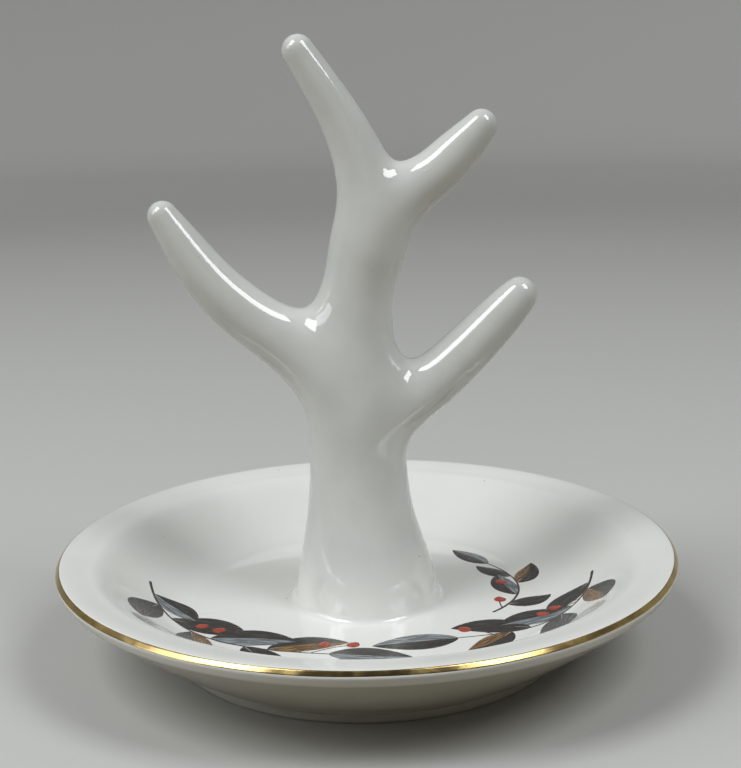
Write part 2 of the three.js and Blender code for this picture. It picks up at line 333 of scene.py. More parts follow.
# The gold and the enamels, each between two tones
GOLD_TONES = ((0.5, 0.36, 0.16), (0.7, 0.52, 0.2))
GOLD_ROUGHNESS = (0.17, 0.26)
GOLD_IOR = 1.45
GOLD_PATCH_SIZE = 3 * MM
GOLD_BRUSH_SIZE = 0.8 * MM
GOLD_BRUSH_HEIGHT = 0.01 * MM
GOLD_BRUSH_STRENGTH = 0.5
ENAMEL_TONES = {
    "twig": ((0.03, 0.022, 0.016), (0.07, 0.05, 0.034)),
    "dark": ((0.018, 0.015, 0.013), (0.05, 0.042, 0.035)),
    "ochre": ((0.1, 0.05, 0.018), (0.3, 0.17, 0.06)),
    "slate": ((0.11, 0.125, 0.14), (0.3, 0.33, 0.35)),
    "cream": ((0.5, 0.47, 0.4), (0.68, 0.65, 0.57)),
    "berry": ((0.3, 0.035, 0.018), (0.5, 0.08, 0.035)),
}
ENAMEL_ROUGHNESS = (0.2, 0.32)
ENAMEL_IOR = 1.5
STREAK_SIZE = 0.4 * MM
STREAK_RANGE = (0.38, 0.7)
STREAK_HEIGHT = 0.008 * MM
STREAK_STRENGTH = 0.6
STREAK_SQUEEZE_SHARE = 0.12

# The camera stands where the photograph was taken from. Its picture is 741 by 768 pixels. The sensor's height
# is in Blender's own millimetres, and only sets what the lens is measured against.
CAMERA_PLACE = Vector((0, -252.1, 107.0)) * MM
CAMERA_AIM = Vector((1.3, 0, 46.9)) * MM
CAMERA_ROLL = -1.2
CAMERA_NEAR = 10 * MM
FOCAL_PIXELS = 1500
PICTURE_HEIGHT = 768
SENSOR = 36

# The studio's paper: a flat round with a pinhole at its middle, a hair below the foot ring, that sweeps up
# into a wall
STUDIO_REACH = 900 * MM
STUDIO_SWEEP = 350 * MM
STUDIO_HEIGHT = 500 * MM
STUDIO_DROP = 0.02 * MM
STUDIO_PINHOLE = 0.02 * MM

# The paper's colour as it is seen, near the object and far from it, and the duller one that its light falls
# back with. Its paler colour far away is painted light on the far floor and upswept wall, which take less of
# the lamps' light.
PAPER_NEAR = 600 * MM
PAPER_FAR = 1050 * MM
PAPER_SEEN_NEAR = (0.57, 0.57, 0.55)
PAPER_SEEN_FAR = (0.88, 0.88, 0.86)
PAPER_AS_LIT = (0.215, 0.19, 0.14)
PAPER_ROUGHNESS = 0.9

# A lamp on each side, and a dimmer one low on the left. As the object sees it, each lies towards an azimuth
# and an elevation, and is so many degrees wide and high.
LAMPS = {
    "lamp_right": {"towards": (58, 53), "width": 20, "height": 31, "radiance": 7},
    "lamp_left": {"towards": (-60, 51), "width": 22, "height": 31, "radiance": 7.4},
    "lamp_left_low": {"towards": (-73, 25), "width": 22, "height": 22, "radiance": 2.6},
}
LAMP_DISTANCE = 900 * MM
LAMP_TINT = (0.96, 0.985, 1)

# The air's even level of light, and its lobes. Each is brightest towards an azimuth and an elevation, and
# fades out at its reach in degrees.
AIR_LEVEL = 0.05
AIR_LOBES = {
    "right": {"towards": (82, 50), "reach": 38, "level": 0.1},
    "left": {"towards": (-88, 42), "reach": 38, "level": 0.4},
    "behind": {"towards": (180, 25), "reach": 80, "level": 0.25},
}
AIR_TINT = (1, 1, 0.98)


# Outlines

def bezier(points, steps):
    """Points along the Bezier curve that a short row of control points gives."""
    t = np.linspace(0, 1, steps + 1)[:, None]
    rows = [np.asarray(p, float)[None, :] for p in points]
    while len(rows) > 1:
        rows = [a + t * (b - a) for a, b in zip(rows[:-1], rows[1:])]
    return rows[0]


def arc(centre, radius, from_angle, to_angle, steps):
    """Points along a circle's arc, between two angles in degrees."""
    angles = np.radians(np.linspace(from_angle, to_angle, steps + 1))
    return np.stack([centre[0] + radius * np.cos(angles), centre[1] + radius * np.sin(angles)], axis=1)


def rounded(before, corner, after, reach):
    """A corner of an outline, replaced by a soft round that starts and ends one reach away from it."""
    before, corner, after = (np.asarray(p, float) for p in (before, corner, after))
    start = corner + (before - corner) * reach / np.linalg.norm(before - corner)
    end = corner + (after - corner) * reach / np.linalg.norm(after - corner)
    return bezier([start, corner, end], ROUND_STEPS)


def well_wall():
    """From the edge of the flat floor up the S-shaped wall of the well to its mouth."""
    run = WELL_MOUTH[0] - FLOOR_RADIUS
    slope = FLANGE_DROP / FLANGE_WIDTH
    low = [(FLOOR_RADIUS + run * share, FLOOR_HEIGHT) for share in (0, *FLOOR_HANDLE_SHARES)]
    high = [WELL_MOUTH - run * share * np.array([1, slope]) for share in (*MOUTH_HANDLE_SHARES, 0)]
    return bezier([*low, *high], WALL_STEPS)


def flange_top():
    """From the well's mouth up the flange to the top of the lip's round."""
    handle = FLANGE_WIDTH * FLANGE_HANDLE_SHARE
    slope = FLANGE_DROP / FLANGE_WIDTH
    return bezier(
        [
            WELL_MOUTH,
            (WELL_MOUTH[0] + handle, WELL_MOUTH[1] + handle * slope),
            (LIP_CENTRE[0] - handle, RIM_HEIGHT),
            (LIP_CENTRE[0], RIM_HEIGHT),
        ],
        FLANGE_STEPS,
    )


def upper_side():
    """The dish's whole upper side, from the vent to the top of the lip's round."""
    floor = np.linspace(VENT_RADIUS + VENT_BEVEL, FLOOR_RADIUS, FLOOR_STEPS + 1)
    flat = np.stack([floor, np.full_like(floor, FLOOR_HEIGHT)], axis=1)
    return np.concatenate([flat, well_wall()[1:], flange_top()[1:]])


def lip_outline(angles, proud=0):
    """Points on the lip's round, flat and all, at angles in degrees up from its outermost point."""
    flat = LIP_ROUND * LIP_FLAT_SHARE / np.cos(np.radians(angles - LIP_FLAT_FACING))
    reach = blended(LIP_ROUND, flat, LIP_FLAT_BLEND) + proud
    lift = np.radians(angles)
    return LIP_CENTRE + reach[:, None] * np.stack([np.cos(lift), np.sin(lift)], axis=1)


def lower_side():
    """From the lip's round down its face and the bowl, over the foot ring and into the recess behind it."""
    lip_angle = -math.degrees(math.atan2(LIP_DRAFT, LIP_DEPTH - LIP_ROUND))
    lip = lip_outline(np.linspace(90, lip_angle, LIP_STEPS + 1))[1:]
    corner = np.array([RIM_RADIUS - LIP_DRAFT, RIM_HEIGHT - LIP_DEPTH])
    foot_top = np.array([FOOT_RADIUS + FOOT_DRAFT, FOOT_HEIGHT])
    slope = (corner[1] - foot_top[1]) / (corner[0] - foot_top[0])
    above = corner + (lip[-1] - corner) * LIP_CORNER_REACH / LIP_DEPTH
    below = corner - LIP_CORNER_REACH * np.array([1, slope])
    run = corner[0] - foot_top[0]
    bowl_handle = foot_top + run * BOWL_HANDLE_SHARE * np.array([1, slope * BOWL_FOOT_SLOPE_SHARE])
    bowl = bezier([below, bowl_handle, foot_top], BOWL_STEPS)
    ceiling = FLOOR_HEIGHT - FLOOR_THICKNESS
    inside = FOOT_RADIUS - FOOT_FACE_WIDTH
    foot_outside = np.array([FOOT_RADIUS + FOOT_BEVEL, FOOT_BEVEL])
    outer_edge = (FOOT_RADIUS + FOOT_BEVEL * FOOT_EDGE_SHARE, 0)
    inner_edge = (inside, 0)
    recess_corner = (inside - FOOT_INNER_DRAFT, ceiling)
    vent_edge = (VENT_RADIUS, ceiling)
    return np.concatenate([
        lip,
        bezier([above, corner, below], LIP_CORNER_STEPS),
        bowl[1:],
        bezier([foot_top, foot_outside], FOOT_STEPS)[1:-1],
        rounded(foot_outside + (foot_outside - outer_edge), outer_edge, inner_edge, FOOT_BEVEL),
        rounded(outer_edge, inner_edge, recess_corner, FOOT_BEVEL),
        rounded(inner_edge, recess_corner, vent_edge, CEILING_ROUND),
        bezier([(inside - FOOT_INNER_DRAFT - CEILING_ROUND, ceiling), vent_edge], CEILING_STEPS)[1:-1],
        rounded(recess_corner, vent_edge, (VENT_RADIUS, FLOOR_HEIGHT), VENT_BEVEL),
        rounded(vent_edge, (VENT_RADIUS, FLOOR_HEIGHT), (FLOOR_RADIUS, FLOOR_HEIGHT), VENT_BEVEL)[:-1],
    ])


# Meshes

def add_mesh(name, points, faces, material):
    """A smooth mesh of one material as a new object, which keeps only its sharp edges sharp."""
    mesh = bpy.data.meshes.new(name)
    mesh.from_pydata(np.asarray(points).tolist(), [], faces)
    mesh.shade_smooth()
    mesh.set_sharp_from_angle(angle=math.radians(SHARP_ANGLE))
    mesh.materials.append(material)
    piece = bpy.data.objects.new(name, mesh)
    bpy.context.scene.collection.objects.link(piece)
    return piece


def grid_faces(rows, columns, close_rows, close_columns, first=0):
    """Four-sided faces over a grid of points numbered row by row, which face along rows cross columns."""
    row = np.arange(rows if close_rows else rows - 1)
    column = np.arange(columns if close_columns else columns - 1)
    i, j = (a.ravel() for a in np.meshgrid(row, column, indexing="ij"))
    i_next, j_next = (i + 1) % rows, (j + 1) % columns
    corners = [i * columns + j, i_next * columns + j, i_next * columns + j_next, i * columns + j_next]
    return np.stack(corners, axis=1) + first


def turned_points(outline, steps):
    """The outline's (radius, height) points at each step round the Z axis, as an array of rows."""
    turn = np.linspace(0, 2 * math.pi, steps, endpoint=False)
    radius, height = np.asarray(outline).T
    x = np.cos(turn)[:, None] * radius
    y = np.sin(turn)[:, None] * radius
    return np.stack([x, y, np.broadcast_to(height, x.shape)], axis=2)


class Strokes:
    """Brush strokes of one enamel: thin closed skins that lie on the dish, gathered into one mesh."""

    def __init__(self):
        self.points = []
        self.faces = []
        self.along_across = []
        self.strokes = 0

    def add(self, line, left, right, rise):
        """A stroke along a line of (x, y) points, with its width to the left and right at each point. On the
        dish's upper side it stands up plump between thin edges, and it sinks in a little below."""
        ahead = np.gradient(line, axis=0)
        ahead /= np.linalg.norm(ahead, axis=1)[:, None]
        side = np.stack([-ahead[:, 1], ahead[:, 0]], axis=1)
        share = np.linspace(-1, 1, STROKE_COLUMNS)
        width = np.maximum(np.where(share > 0, left[:, None], right[:, None]), LEAST_WIDTH)
        reach = width * share
        plan = line[:, None, :] + reach[:, :, None] * side[:, None, :]
        radius = np.linalg.norm(plan, axis=2)
        surface = np.interp(radius, *upper_side().T)
        plump = np.minimum(width / (2 * rise), 1) * rise * (1 - share**4)
        top = np.dstack([plan, surface + plump])
        bottom = np.dstack([plan, surface - ENAMEL_SINK])
        rows = np.concatenate([top, bottom[:, ::-1]], axis=1)
        travelled = np.append(0, np.cumsum(np.linalg.norm(np.diff(line, axis=0), axis=1)))
        start = travelled + self.strokes * LEAF_LENGTH
        across = np.concatenate([reach, reach[:, ::-1]], axis=1)
        count, around = rows.shape[:2]
        first = sum(len(p) for p in self.points)
        last = first + (count - 1) * around
        self.points.append(rows.reshape(-1, 3))
        self.faces += grid_faces(count, around, False, True, first).tolist()
        self.faces += [list(range(first, first + around)), list(range(last + around - 1, last - 1, -1))]
        self.along_across.append(np.stack([np.repeat(start, around), across.ravel()], axis=1))
        self.strokes += 1

    def body(self, name, material):
        """All the strokes as one piece, with their distance along and across kept for the brush's streaks."""
        piece = add_mesh(name, np.concatenate(self.points), self.faces, material)
        layer = piece.data.uv_layers.new(name="stroke")
        corner = np.empty(len(piece.data.loops), int)
        piece.data.loops.foreach_get("vertex_index", corner)
        layer.data.foreach_set("uv", np.concatenate(self.along_across)[corner].ravel())
        return piece


def ring_body(name, rows, material):
    """A closed ring: one outline for each step round the Z axis."""
    steps, count = rows.shape[:2]
    return add_mesh(name, rows.reshape(-1, 3), grid_faces(steps, count, True, True).tolist(), material)


# The tree's form, as a distance that is zero on its surface

def smooth_through(stations, steps):
    """Points along a smooth curve through a row of stations, which doesn't swing out between near ones."""
    ends = [2 * stations[0] - stations[1], 2 * stations[-1] - stations[-2]]
    p = np.concatenate([[ends[0]], stations, [ends[1]]])
    gap = np.sqrt(np.linalg.norm(np.diff(p, axis=0), axis=1))[:, None]
    slope = (
        np.diff(p, axis=0)[:-1] / gap[:-1]
        + np.diff(p, axis=0)[1:] / gap[1:]
        - (p[2:] - p[:-2]) / (gap[:-1] + gap[1:])
    )
    place = np.linspace(0, len(stations) - 1, steps + 1)
    index = np.minimum(place.astype(int), len(stations) - 2)
    t = (place - index)[:, None]
    start, end = stations[index], stations[index + 1]
    leave = slope[index] * gap[1:-1][index]
    arrive = slope[index + 1] * gap[1:-1][index]
    return (
        start
        + t * leave
        + t**2 * (3 * (end - start) - 2 * leave - arrive)
        + t**3 * (2 * (start - end) + leave + arrive)
    )


def limb_line(limb, steps):
    """A limb's centre line and girth as (x, z, radius) rows, smooth through its stations and evened out."""
    shares = np.array(limb["station_shares"], float)
    stations = np.stack(
        [
            shares[:, 0] * limb["reach"],
            limb["root_rise"] + shares[:, 1] * (limb["tip_rise"] - limb["root_rise"]) + FLOOR_HEIGHT,
            limb["tip_radius"] + shares[:, 2] * (limb["root_radius"] - limb["tip_radius"]),
        ],
        axis=1,
    )
    line = smooth_through(stations, steps)
    for _ in range(LINE_PASSES):
        line[1:-1] = (line[:-2] + 2 * line[1:-1] + line[2:]) / 4
    return line


def outside_limb(points, line):
    """How far points lie outside a limb, which is a row of short cones with round ends."""
    least = np.full(len(points), np.inf)
    x, y, z = np.ascontiguousarray(points.T)
    for (ax, az, ar), (bx, bz, br) in zip(line[:-1], line[1:]):
        dx, dz = bx - ax, bz - az
        t = np.clip(((x - ax) * dx + (z - az) * dz) / (dx * dx + dz * dz), 0, 1)
        away = np.sqrt((x - ax - t * dx) ** 2 + y * y + (z - az - t * dz) ** 2)
        np.minimum(least, away - ar - t * (br - ar), out=least)
    return least


def blended(a, b, width):
    """The lower of two distances, rounded over softly where they meet."""
    nearness = np.maximum(width - np.abs(a - b), 0) / width
    return np.minimum(a, b) - nearness**3 * width / 6


STEM_LINE = limb_line(STEM, LIMB_STEPS * 2)
HOLLOW_LINE = STEM_LINE[STEM_LINE[:, 1] <= FLOOR_HEIGHT + HOLLOW_RISE]
SIDE_LIMBS = [
    (limb_line(limb, LIMB_STEPS), limb["blend"])
    for limb in (LEFT_LIMB, LOWER_RIGHT_LIMB, UPPER_RIGHT_LIMB)
]


def outside_tree(points):
    """How far points lie outside the stem and its limbs, with soft crotches between them."""
    distance = outside_limb(points, STEM_LINE)
    for line, width in SIDE_LIMBS:
        distance = blended(distance, outside_limb(points, line), width)
    return distance


def outside_tree_body(points):
    """The tree as a body: cut level at the dish's floor, and drained hollow in its lower half."""
    hollow = outside_limb(points, HOLLOW_LINE) + WALL_THICKNESS
    return np.maximum(np.maximum(outside_tree(points), FLOOR_HEIGHT - points[:, 2]), -hollow)


def slope_of(distance, points, probe=SLOPE_PROBE):
    """How fast a distance grows along each axis, felt a probe's length to either side."""
    slopes = []
    for axis in np.eye(3):
        slopes.append((distance(points + axis * probe) - distance(points - axis * probe)) / (2 * probe))
    return np.stack(slopes, axis=1)


def settled(distance, points):
    """Points near the surface, moved on to it along the distance's slope."""
    for _ in range(SETTLE_PASSES):
        slope = slope_of(distance, points)
        step = distance(points) / np.maximum((slope**2).sum(axis=1), LEAST_SLOPE_SQUARED)
        points = points - np.clip(step, -TREE_CELL, TREE_CELL)[:, None] * slope
    return points


def grid_values(distance, grid):
    """The distance at the grid's points: in full near the surface, and elsewhere as at a point nearby."""
    shape = grid.shape[:3]
    coarse = grid[::BAND_CELLS, ::BAND_CELLS, ::BAND_CELLS]
    values = distance(coarse.reshape(-1, 3)).reshape(coarse.shape[:3])
    for axis in range(3):
        values = np.repeat(values, BAND_CELLS, axis=axis)
    values = values[: shape[0], : shape[1], : shape[2]].copy()
    near = np.abs(values) < 2 * BAND_CELLS * TREE_CELL
    values[near] = distance(grid[near])
    return values


CELL_CORNERS = np.array([(i, j, k) for i in (0, 1) for j in (0, 1) for k in (0, 1)])


def crossed_cells(values):
    """Which of the grid's cells the surface crosses, and a point amid each one's crossings, in cells."""
    size = np.array(values.shape) - 1
    corners = np.stack(
        [values[i : i + size[0], j : j + size[1], k : k + size[2]] for i, j, k in CELL_CORNERS], axis=3
    )
    crossed = (corners.min(axis=3) < 0) & (corners.max(axis=3) >= 0)
    around = corners[crossed]
    total = np.zeros((len(around), 3))
    count = np.zeros(len(around))
    for a, b in itertools.combinations(range(len(CELL_CORNERS)), 2):
        edge = CELL_CORNERS[b] - CELL_CORNERS[a]
        if np.abs(edge).sum() == 1:
            cut = (around[:, a] < 0) != (around[:, b] < 0)
            t = around[cut, a] / (around[cut, a] - around[cut, b])
            total[cut] += CELL_CORNERS[a] + t[:, None] * edge
            count[cut] += 1
    return crossed, np.argwhere(crossed) + total / count[:, None]


def net_faces(inside, crossed):
    """A face for each of the grid's edges that the surface crosses, between the four cells round it."""
    size = crossed.shape
    number = np.full(size, -1)
    number[crossed] = np.arange(crossed.sum())
    steps = np.eye(3, dtype=int)
    faces = []
    for axis in range(3):
        u, w = steps[(axis + 1) % 3], steps[(axis + 2) % 3]
        here = np.take(inside, np.arange(size[axis]), axis=axis)
        ahead = np.take(inside, np.arange(1, size[axis] + 1), axis=axis)
        nodes = np.argwhere(here != ahead)
        ring = [nodes - m * u - n * w for m, n in ((0, 0), (1, 0), (1, 1), (0, 1))]
        quads = np.stack([number[tuple(cell.T)] for cell in ring], axis=1)
        outward = ~here[tuple(nodes.T)]
        quads[outward] = quads[outward, ::-1]
        faces.append(quads)
    return np.concatenate(faces).tolist()


def surface_net(distance, low, high):
    """The surface where a distance is zero, as points and four-sided faces, over a grid from low to high."""
    axes = [np.arange(a, b + TREE_CELL, TREE_CELL) for a, b in zip(low, high)]
    grid = np.stack(np.meshgrid(*axes, indexing="ij"), axis=3)
    values = grid_values(distance, grid)
    crossed, places = crossed_cells(values)
    points = settled(distance, np.array(low) + TREE_CELL * places)
    return points, net_faces(values < 0, crossed)


# Materials

class Nodes:
    """A tree of shader nodes, built one node at a time."""

    def __init__(self, tree):
        self.tree = tree

    def node(self, kind, inputs=None, **settings):
        """A new node, with values or links fed to its named or numbered inputs."""
        made = self.tree.nodes.new(kind)
        for key, value in settings.items():
            setattr(made, key, value)
        for key, value in (inputs or {}).items():
            self.feed(made.inputs[key], value)
        return made

    def feed(self, socket, value):
        if isinstance(value, bpy.types.NodeSocket):
            self.tree.links.new(value, socket)
        else:
            socket.default_value = value

    def math(self, operation, a, b=0.0):
        return self.node("ShaderNodeMath", {0: a, 1: b}, operation=operation).outputs[0]

    def span(self, value, low, high, low_out=0.0, high_out=1.0):
        """A value's place between low and high, eased in and out, as a place between two other values."""
        inputs = {"Value": value, "From Min": low, "From Max": high, "To Min": low_out, "To Max": high_out}
        return self.node("ShaderNodeMapRange", inputs, interpolation_type="SMOOTHSTEP").outputs["Result"]

    def mixed(self, share, a, b):
        made = self.node("ShaderNodeMix", data_type="RGBA")
        self.feed(made.inputs["Factor"], share)
        self.feed(made.inputs[6], a)
        self.feed(made.inputs[7], b)
        return made.outputs[2]


class Shader(Nodes):
    """A material on the Principled surface, with places read in the object's own metres."""

    def __init__(self, name):
        self.material = bpy.data.materials.new(name)
        self.material.use_nodes = True
        super().__init__(self.material.node_tree)
        self.surface = self.tree.nodes["Principled BSDF"]
        self.place = self.node("ShaderNodeTexCoord").outputs["Object"]

    def noise(self, size, detail=2.0, place=None):
        """Soft noise whose patches are about so large."""
        inputs = {"Vector": place or self.place, "Scale": 1 / size, "Detail": detail}
        return self.node("ShaderNodeTexNoise", inputs).outputs["Fac"]

    def height(self):
        return self.node("ShaderNodeSeparateXYZ", {0: self.place}).outputs["Z"]

    def bump(self, height, distance=1.0, strength=1.0):
        """Relief as high as the height times the distance, in metres."""
        made = self.node("ShaderNodeBump", {"Height": height, "Distance": distance, "Strength": strength})
        self.feed(self.surface.inputs["Normal"], made.outputs["Normal"])

    def set(self, **values):
        """Feeds the surface's sockets, named with a low line for each space."""
        for key, value in values.items():
            self.feed(self.surface.inputs[key.replace("_", " ")], value)


def colour(red, green, blue):
    return (red, green, blue, 1.0)


def specks(shader, spacing, chosen_share, radius):
    """A mask of small round specks, one at most in each cell and only in a share of the cells."""
    cells = shader.node("ShaderNodeTexVoronoi", {"Vector": shader.place, "Scale": 1 / spacing})
    lot = shader.node("ShaderNodeSeparateColor", {0: cells.outputs["Color"]}).outputs[0]
    chosen = shader.math("LESS_THAN", lot, chosen_share)
    near = shader.span(cells.outputs["Distance"], radius / spacing, radius / 2 / spacing)
    return shader.math("MULTIPLY", chosen, near)


def glaze(name, body, mottle, foot):
    """Clear glaze over white porcelain: glossy, faintly mottled and uneven, with fine iron specks and pits.
    Just over the dish's floor it takes the foot's colour, which on the tree is lighter, painted light, and on
    the dish a little darker. On the foot ring's face it is wiped off."""
    shader = Shader(name)
    height = shader.height()
    mottled = shader.span(shader.noise(MOTTLE_SIZE, 3), *MOTTLE_RANGE)
    lifted = shader.span(height, FLOOR_HEIGHT, FLOOR_HEIGHT + FOOT_LIGHT_AND_TINT_RISE)
    wiped = shader.span(height, FOOT_BEVEL, FOOT_BEVEL / 4)
    iron = specks(shader, IRON_SPACING, IRON_SHARE, IRON_RADIUS)
    tint = shader.mixed(mottled, colour(*body), colour(*mottle))
    # The foot's colour low down: painted light on the tree, a little darker on the dish
    tint = shader.mixed(lifted, colour(*foot), tint)
    tint = shader.mixed(iron, tint, colour(*IRON_BROWN))
    tint = shader.mixed(wiped, tint, colour(*BARE_CLAY))
    gloss = shader.span(shader.noise(GLOSS_PATCH_SIZE), *PATCH_RANGE, *GLAZE_ROUGHNESS)
    roughness = shader.math("MAXIMUM", gloss, shader.math("MULTIPLY", wiped, BARE_ROUGHNESS))
    shader.set(Base_Color=tint, Roughness=roughness, IOR=GLAZE_IOR)
    swell = shader.math("MULTIPLY", shader.noise(SWELL_SIZE, 1), SWELL_HEIGHT)
    pits = shader.math("MULTIPLY", specks(shader, PIT_SPACING, PIT_SHARE, PIT_RADIUS), PIT_DEPTH)
    shader.bump(shader.math("SUBTRACT", swell, pits))
    return shader.material


def gold_lustre():
    """Burnished gold, brushed on thinly: its tone and its gloss vary in patches, under fine brush marks."""
    shader = Shader("gold_lustre")
    patch = shader.span(shader.noise(GOLD_PATCH_SIZE, 4), *PATCH_RANGE)
    dark, light = GOLD_TONES
    shader.set(Base_Color=shader.mixed(patch, colour(*dark), colour(*light)), Metallic=1)
    shader.set(Roughness=shader.span(patch, 0, 1, *GOLD_ROUGHNESS), IOR=GOLD_IOR)
    shader.bump(shader.noise(GOLD_BRUSH_SIZE, 2), GOLD_BRUSH_HEIGHT, GOLD_BRUSH_STRENGTH)
    return shader.material


def enamel(name, dark, light):
    """Fired overglaze enamel, semi-glossy and a little raised, with the streaks that a small brush leaves."""
    shader = Shader(name)
    along = shader.node("ShaderNodeUVMap", uv_map="stroke").outputs["UV"]
    scale = (STREAK_SQUEEZE_SHARE, 1, 1)
    stretched = shader.node("ShaderNodeMapping", {"Vector": along, "Scale": scale}).outputs[0]
    streak = shader.span(shader.noise(STREAK_SIZE, 3, stretched), *STREAK_RANGE)
    shader.set(Base_Color=shader.mixed(streak, colour(*dark), colour(*light)))
    shader.set(Roughness=shader.span(streak, 0, 1, *ENAMEL_ROUGHNESS), IOR=ENAMEL_IOR)
    shader.bump(streak, STREAK_HEIGHT, STREAK_STRENGTH)
    return shader.material


# Pieces

def make_dish(material):
    outline = np.concatenate([upper_side(), lower_side()])
    piece = ring_body("dish_glazed", turned_points(outline, AROUND), material)
    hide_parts("dish")
    return piece


def gilt_wander(turn, waves):
    return GILT_WANDER * sum(share * np.sin(count * turn + start) for count, share, start in waves)


def make_gilt_band(material):
    """A thin skin of gold on the lip's round, whose edges wander a little as a banding brush leaves them."""
    turn = np.linspace(0, 2 * math.pi, AROUND * 2, endpoint=False)
    lower = GILT_FROM + gilt_wander(turn, GILT_LOWER_WAVES)
    upper = GILT_TO + gilt_wander(turn, GILT_UPPER_WAVES)
    share = np.linspace(0, 1, GILT_STEPS + 1)
    proud = GILT_PROUD * np.minimum(1, np.minimum(share, 1 - share) / GILT_EDGE_SHARE)
    rows = []
    for angle, start, end in zip(turn, lower, upper):
        lift = start + (end - start) * share
        face = lip_outline(lift, proud)
        back = lip_outline(lift, -GILT_DEPTH)
        radius, height = np.concatenate([face[::-1], back[1:-1]]).T
        rows.append(np.stack([radius * np.cos(angle), radius * np.sin(angle), height], axis=1))
    piece = ring_body("gilt_rim_band", np.array(rows), material)
    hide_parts("gilt_rim_line")
    return piece


def make_tree(material):
    """The tree as one body, whose outer side is shaded by its form's own slope."""
    room = 3 * TREE_CELL
    depth = STEM_BASE_RADIUS + room
    low = (tree_low.x - room, -depth, tree_low.z - room)
    high = (tree_high.x + room, depth, tree_high.z + room)
    points, faces = surface_net(outside_tree_body, low, high)
    piece = add_mesh("ring_tree_glazed", points, faces, material)
    outer = (outside_tree(points) > -TREE_CELL / 4) & (points[:, 2] > FLOOR_HEIGHT + TREE_CELL)
    facing = slope_of(outside_tree, points, TREE_CELL)
    facing /= np.linalg.norm(facing, axis=1)[:, None]
    piece.data.normals_split_custom_set_from_vertices(np.where(outer[:, None], facing, 0))
    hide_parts("ring_tree")
    return piece


def make_slip_fillet(material):
    """The joining slip, glazed over: from the stem's side it runs out level on the floor. Each section goes
    down the stem and out along the floor by a hollow round, and closes inside the stem's foot. A few passes
    bring its points to their right distances from the stem's side."""
    turn = np.linspace(0, 2 * math.pi, AROUND, endpoint=False)
    lead = np.linspace(-1, 1, SLIP_STEPS + 1) * SLIP_WIDTH
    shortfall = (SLIP_WIDTH - np.abs(lead)) ** 2 / (4 * SLIP_WIDTH)
    away = np.append(shortfall + np.maximum(lead, 0), -SLIP_DEPTH)
    rise = np.append(shortfall + np.maximum(-lead, 0), 0)
    radius = np.full((AROUND, len(rise)), STEM_BASE_RADIUS)
    heading = np.stack([np.cos(turn), np.sin(turn)], axis=1)

    def place():
        flat = radius[:, :, None] * heading[:, None, :]
        height = np.broadcast_to(FLOOR_HEIGHT + rise, radius.shape)
        return np.concatenate([flat, height[:, :, None]], axis=2)

    for _ in range(SLIP_PASSES):
        radius += away - outside_tree(place().reshape(-1, 3)).reshape(radius.shape)
    piece = ring_body("joining_slip_glazed", place()[:, ::-1], material)
    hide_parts("joining_slip_fillet")
    return piece


# The painted sprigs

def turned_heading(heading, quarter_turns):
    """A heading turned to the left by so many quarter turns."""
    angle = quarter_turns * math.pi / 2
    across = np.array([-heading[1], heading[0]])
    return heading * math.cos(angle) + across * math.sin(angle)


def paint_leaf(paints, start, heading, size, quarter_turns, tone):
    """A leaf in two half strokes, the far one in its own tone, with a pale midrib and side veins."""
    length = LEAF_LENGTH * size
    first = turned_heading(heading, quarter_turns)
    second = turned_heading(heading, quarter_turns / 3)
    middle = start + first * length / 2
    line = bezier([start, middle, middle + second * length / 2], LEAF_STEPS)
    share = np.linspace(0, 1, len(line))
    width = LEAF_WIDTH * size * np.sin(math.pi * share**LEAF_ROOT_POWER) ** LEAF_FULL_POWER
    far_width = width * LEAF_FAR_HALF_SHARE
    overlap = np.minimum(width, VEIN_WIDTH)
    halves = [("dark", width, overlap), (tone, overlap, far_width)]
    if quarter_turns < 0:
        halves = [("dark", overlap, width), (tone, far_width, overlap)]
    for paint, left, right in halves:
        paints[paint].add(line, left, right, LEAF_RISE)
    paint_veins(paints["cream"], line, width)


def paint_veins(paint, line, width):
    """A leaf's midrib, and its side veins in pairs that reach for its edges."""
    rib = line[1:-3]
    rib_width = np.linspace(VEIN_WIDTH, VEIN_TIP_WIDTH, len(rib))
    paint.add(rib, rib_width, rib_width, VEIN_RISE)
    vein_width = np.linspace(VEIN_WIDTH * SIDE_VEIN_WIDTH_SHARE, VEIN_TIP_WIDTH, VEIN_STEPS + 1)
    for place in VEIN_PLACE_SHARES:
        index = round(place * (len(line) - 1))
        root = line[index]
        along = line[index + 1] - root
        along = along / np.linalg.norm(along)
        first_part, second_part = width[index] * np.array(VEIN_PART_SHARES)
        for side in (-1, 1):
            bent = root + turned_heading(along, side * VEIN_TURN) * first_part
            tip = bent + turned_heading(along, side * VEIN_END_TURN) * second_part
            paint.add(bezier([root, bent, tip], VEIN_STEPS), vein_width, vein_width, VEIN_RISE)


def paint_berry(paints, start, heading, reach, quarter_turns):
    """A red berry on a thin stalk."""
    first = turned_heading(heading, quarter_turns)
    bent = start + first * reach / 2
    centre = bent + turned_heading(heading, quarter_turns / 2) * reach / 2
    stalk = bezier([start, bent, centre], STALK_STEPS)
    stalk_width = np.full(len(stalk), TWIG_TIP_WIDTH)
    paints["twig"].add(stalk, stalk_width, stalk_width, LEAF_RISE)
    lead = -np.cos(np.linspace(0, math.pi, BERRY_STEPS + 1)) * BERRY_RADIUS
    disc = centre + lead[:, None] * first
    width = np.sqrt(np.maximum(BERRY_RADIUS**2 - lead**2, 0))
    paints["berry"].add(disc, width, width, BERRY_RISE)


